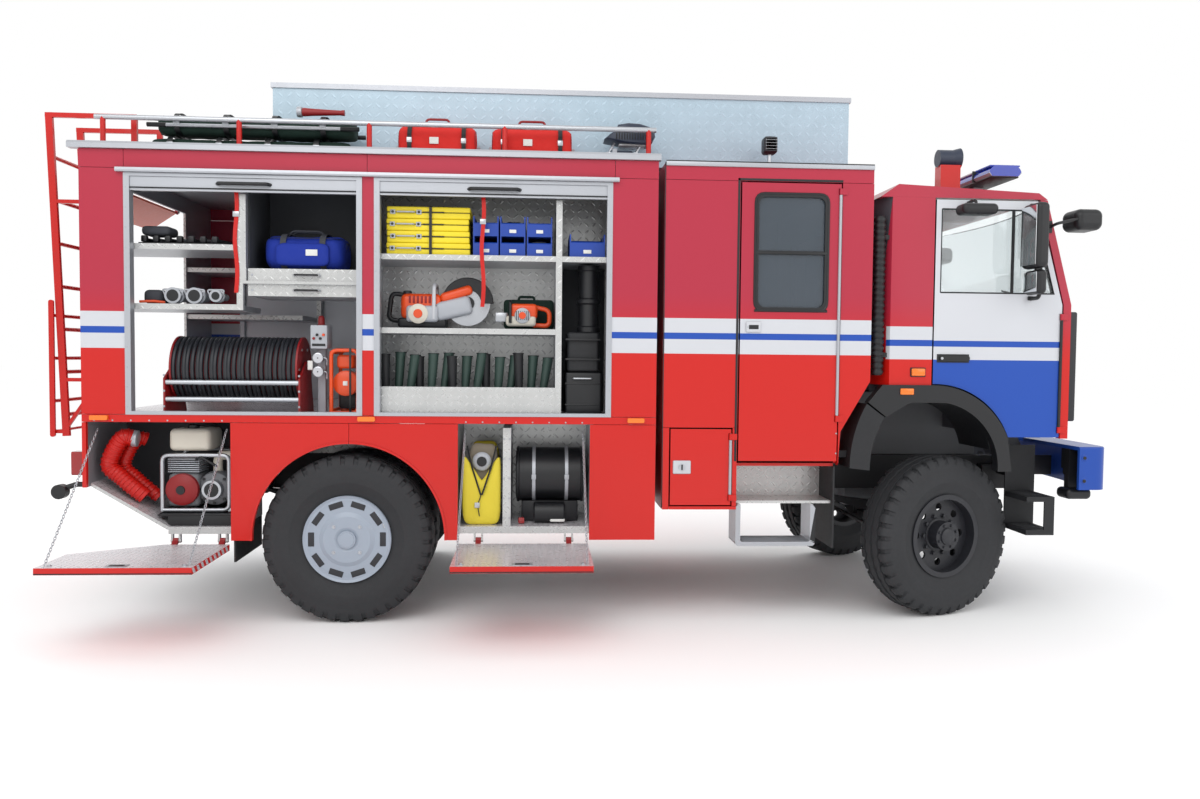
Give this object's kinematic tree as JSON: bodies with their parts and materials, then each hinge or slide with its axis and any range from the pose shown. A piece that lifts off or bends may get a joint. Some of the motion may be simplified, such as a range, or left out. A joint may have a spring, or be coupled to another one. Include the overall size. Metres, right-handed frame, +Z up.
{
  "type": "fire engine",
  "caption": "Two-axle fire engine with a tilting cab, crew cabin, open equipment lockers with fold-down flaps, roof load and a hose reel.",
  "frame": {"origin": "on the ground, midway between the foremost and rearmost points and between the open right flaps' edge and the left mirrors' edge, so 0.22 m to the right of the vehicle's middle plane", "axes": "+X forward, +Y to the vehicle's left, +Z up"},
  "size_m": [7.118, 3.46, 3.59],
  "materials": {
    "chassis_black": "satin",
    "cast_grey": "rough",
    "blue_paint": "gloss",
    "red_paint": "gloss",
    "door_paint": "gloss",
    "aluminium": "satin",
    "tread_plate": "embossed",
    "chain_steel": "galvanised",
    "hose_rubber": "matt",
    "dark_plastic": "grained",
    "glass": "clear",
    "seat_fabric": "woven",
    "blue_lens": "gloss",
    "amber_lens": "gloss",
    "case_yellow": "satin",
    "bin_blue": "satin",
    "bag_fabric": "woven",
    "tool_orange": "satin",
    "tyre": "matt",
    "wheel_paint": "satin"
  },
  "bodies": {
    "chassis": {"chassis_frame": "chassis_black", "axles_and_springs": "chassis_black", "engine_gearbox": "cast_grey", "front_bumper": "blue_paint", "body_sides": "red_paint", "body_structure": "aluminium", "locker_frames": "aluminium", "shutters": "aluminium", "crew_shell": "red_paint", "crew_seats": "seat_fabric", "steps_and_mudguards": "chassis_black", "roof_rails_and_ladder": "red_paint", "roof_box": "aluminium", "roof_gear": "dark_plastic", "shelves": "aluminium", "hose_reel_frame": "aluminium", "stowed_cases": "case_yellow", "stowed_bins": "bin_blue", "stowed_tools": "tool_orange", "kit_bag": "bag_fabric", "lamps": "amber_lens", "flap_chains": "chain_steel"},
    "cab": {"cab_shell": "red_paint", "cab_front": "dark_plastic", "cab_screen": "glass", "cab_interior": "seat_fabric", "cab_arches": "dark_plastic", "cab_beacons": "blue_lens", "front_mirrors": "dark_plastic"},
    "hose_reel": {"hose_reel_drum": "hose_rubber"},
    "rear_hatch": {"rear_hatch": "red_paint"},
    "tie_rod": {"tie_rod": "cast_grey"},
    "drop_ladder": {"drop_ladder": "red_paint"},
    "cab_door_right": {"cab_door_right": "door_paint", "cab_glass_right": "glass", "mirrors_right": "dark_plastic"},
    "crew_door_right": {"crew_door_right": "red_paint", "crew_glass_right": "glass"},
    "locker_door_right": {"locker_door_right": "red_paint"},
    "flap_rear_right": {"flap_rear_right": "tread_plate"},
    "flap_mid_right": {"flap_mid_right": "tread_plate"},
    "knuckle_right": {"knuckle_right": "cast_grey"},
    "wheel_front_right": {"tyre_front_right": "tyre", "wheel_front_right": "wheel_paint"},
    "wheel_rear_right": {"tyres_rear_right": "tyre", "wheel_rear_right": "wheel_paint"},
    "cab_door_left": {"cab_door_left": "door_paint", "cab_glass_left": "glass", "mirrors_left": "dark_plastic"},
    "crew_door_left": {"crew_door_left": "red_paint", "crew_glass_left": "glass"},
    "locker_door_left": {"locker_door_left": "red_paint"},
    "flap_rear_left": {"flap_rear_left": "tread_plate"},
    "flap_mid_left": {"flap_mid_left": "tread_plate"},
    "knuckle_left": {"knuckle_left": "cast_grey"},
    "wheel_front_left": {"tyre_front_left": "tyre", "wheel_front_left": "wheel_paint"},
    "wheel_rear_left": {"tyres_rear_left": "tyre", "wheel_rear_left": "wheel_paint"}
  },
  "joints": [
    {"name": "cab_tilt", "type": "hinge", "parent": "chassis", "child": "cab", "pos_m": [3.339, 0.22, 0.96], "axis": [0, 1, 0], "range_deg": [0, 45]},
    {"name": "cab_door_right_hinge", "type": "hinge", "parent": "cab", "child": "cab_door_right", "pos_m": [3.141, -1.006, 1.6], "axis": [0, 0, 1], "range_deg": [0, 70]},
    {"name": "crew_door_right_hinge", "type": "hinge", "parent": "chassis", "child": "crew_door_right", "pos_m": [1.608, -1.036, 1.6], "axis": [0, 0, 1], "range_deg": [0, 85]},
    {"name": "locker_door_right_hinge", "type": "hinge", "parent": "chassis", "child": "locker_door_right", "pos_m": [0.902, -1.036, 1], "axis": [0, 0, 1], "range_deg": [0, 95]},
    {"name": "flap_rear_right_hinge", "type": "hinge", "parent": "chassis", "child": "flap_rear_right", "pos_m": [-2.759, -0.9745, 0.5385], "axis": [-1, 0, 0], "range_deg": [0, 90], "deforming": ["flap_chains"]},
    {"name": "flap_mid_right_hinge", "type": "hinge", "parent": "chassis", "child": "flap_mid_right", "pos_m": [-0.45, -0.9745, 0.5385], "axis": [-1, 0, 0], "range_deg": [0, 90], "deforming": ["flap_chains"]},
    {"name": "steer_right", "type": "hinge", "parent": "chassis", "child": "knuckle_right", "pos_m": [2.359, -0.74, 0.545], "axis": [0, 0, 1], "range_deg": [-55, 15]},
    {"name": "wheel_front_right_spin", "type": "hinge", "parent": "knuckle_right", "child": "wheel_front_right", "pos_m": [2.38294, -0.80578, 0.545], "axis": [-0.342, 0.9397, 0], "continuous": true},
    {"name": "wheel_rear_right_spin", "type": "hinge", "parent": "chassis", "child": "wheel_rear_right", "pos_m": [-1.591, -0.87, 0.545], "axis": [0, 1, 0], "continuous": true},
    {"name": "cab_door_left_hinge", "type": "hinge", "parent": "cab", "child": "cab_door_left", "pos_m": [3.141, 1.446, 1.6], "axis": [0, 0, -1], "range_deg": [0, 70]},
    {"name": "crew_door_left_hinge", "type": "hinge", "parent": "chassis", "child": "crew_door_left", "pos_m": [1.608, 1.476, 1.6], "axis": [0, 0, -1], "range_deg": [0, 85]},
    {"name": "locker_door_left_hinge", "type": "hinge", "parent": "chassis", "child": "locker_door_left", "pos_m": [0.902, 1.476, 1], "axis": [0, 0, -1], "range_deg": [0, 95]},
    {"name": "flap_rear_left_hinge", "type": "hinge", "parent": "chassis", "child": "flap_rear_left", "pos_m": [-2.759, 1.4145, 0.5385], "axis": [-1, 0, 0], "range_deg": [0, 90]},
    {"name": "flap_mid_left_hinge", "type": "hinge", "parent": "chassis", "child": "flap_mid_left", "pos_m": [-0.45, 1.4145, 0.5385], "axis": [-1, 0, 0], "range_deg": [0, 90]},
    {"name": "steer_left", "type": "hinge", "parent": "chassis", "child": "knuckle_left", "pos_m": [2.359, 1.18, 0.545], "axis": [0, 0, 1], "range_deg": [-55, 15]},
    {"name": "wheel_front_left_spin", "type": "hinge", "parent": "knuckle_left", "child": "wheel_front_left", "pos_m": [2.33506, 1.24578, 0.545], "axis": [-0.342, 0.9397, 0], "continuous": true},
    {"name": "wheel_rear_left_spin", "type": "hinge", "parent": "chassis", "child": "wheel_rear_left", "pos_m": [-1.591, 1.31, 0.545], "axis": [0, 1, 0], "continuous": true},
    {"name": "tie_rod_slide", "type": "slide", "parent": "chassis", "child": "tie_rod", "axis": [0, 1, 0], "range_m": [-0.04, 0.12]},
    {"name": "hose_reel_spin", "type": "hinge", "parent": "chassis", "child": "hose_reel", "pos_m": [-2.326, -0.71, 1.64], "axis": [1, 0, 0], "continuous": true},
    {"name": "rear_hatch_hinge", "type": "hinge", "parent": "chassis", "child": "rear_hatch", "pos_m": [-3.247, 0.22, 2.855], "axis": [0, 1, 0], "range_deg": [-56, 34]},
    {"name": "drop_ladder_hinge", "type": "hinge", "parent": "chassis", "child": "drop_ladder", "pos_m": [-3.529, -0.52, 1.22], "axis": [0, -1, 0], "range_deg": [0, 175]}
  ],
  "couplings": [
    {"joint": "steer_left", "follows": "steer_right", "ratio": 1},
    {"joint": "tie_rod_slide", "follows": "steer_right", "m_per_rad": -0.1175}
  ]
}
